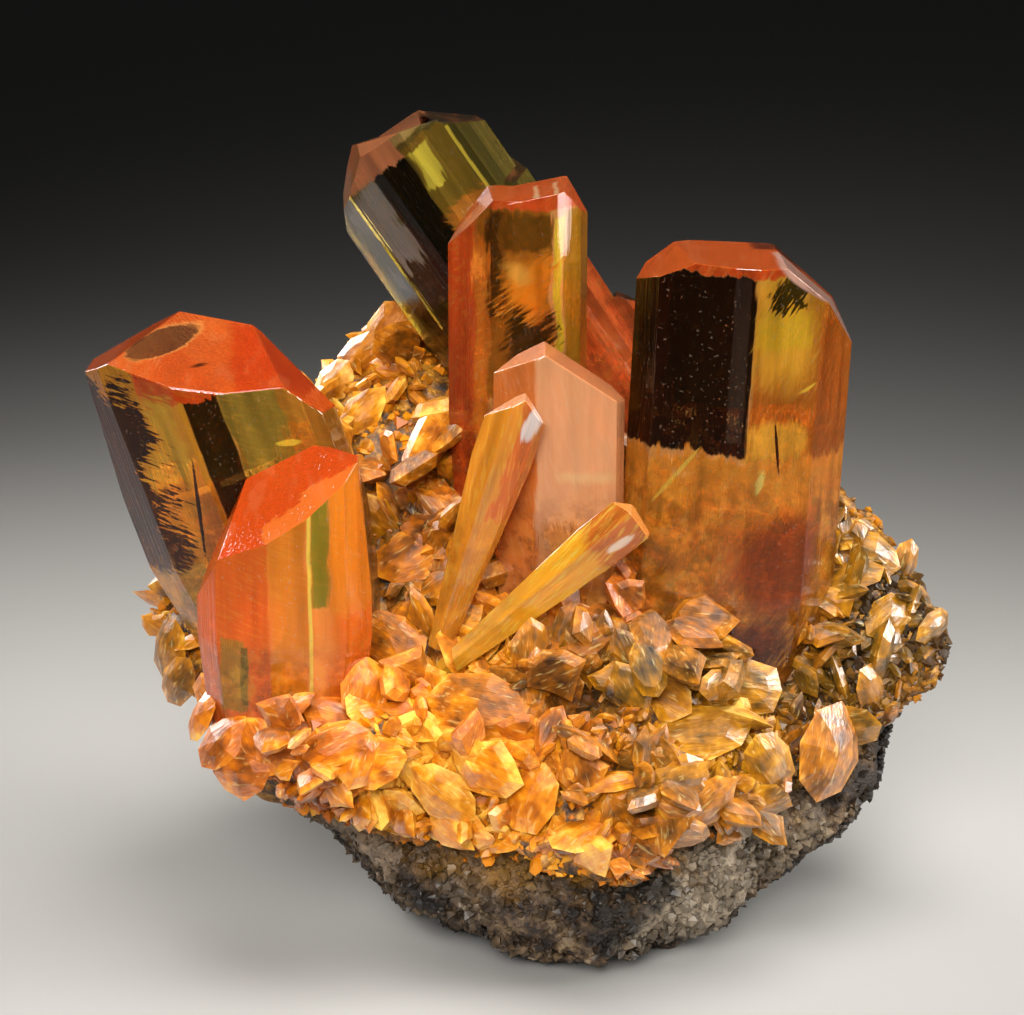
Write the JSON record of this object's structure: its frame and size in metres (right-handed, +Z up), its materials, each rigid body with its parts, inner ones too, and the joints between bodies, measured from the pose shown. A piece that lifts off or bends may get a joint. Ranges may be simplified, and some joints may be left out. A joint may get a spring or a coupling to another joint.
{
  "type": "gypsum crystal specimen",
  "caption": "Free-standing mineral specimen: tall clear amber gypsum crystals rising from a golden crust of lens-shaped blades on a lump of grey rock.",
  "frame": {"origin": "middle of the flat patch under the rock on which the specimen rests", "axes": "+Z up, the crystal-covered front towards -Y, +X to the right as seen from the front"},
  "size_m": [0.1327, 0.0992, 0.1208],
  "materials": {
    "rock": "rough",
    "druse_gypsum": "gloss",
    "clear_gypsum": "gloss"
  },
  "bodies": {
    "root": {"matrix": "rock", "druse": "druse_gypsum", "crystal_right": "clear_gypsum", "crystal_centre": "clear_gypsum", "crystal_back": "clear_gypsum", "crystal_left": "clear_gypsum", "crystal_front_left": "clear_gypsum", "crystal_front": "clear_gypsum", "blade_steep": "clear_gypsum", "blade_leaning": "clear_gypsum"}
  },
  "joints": []
}
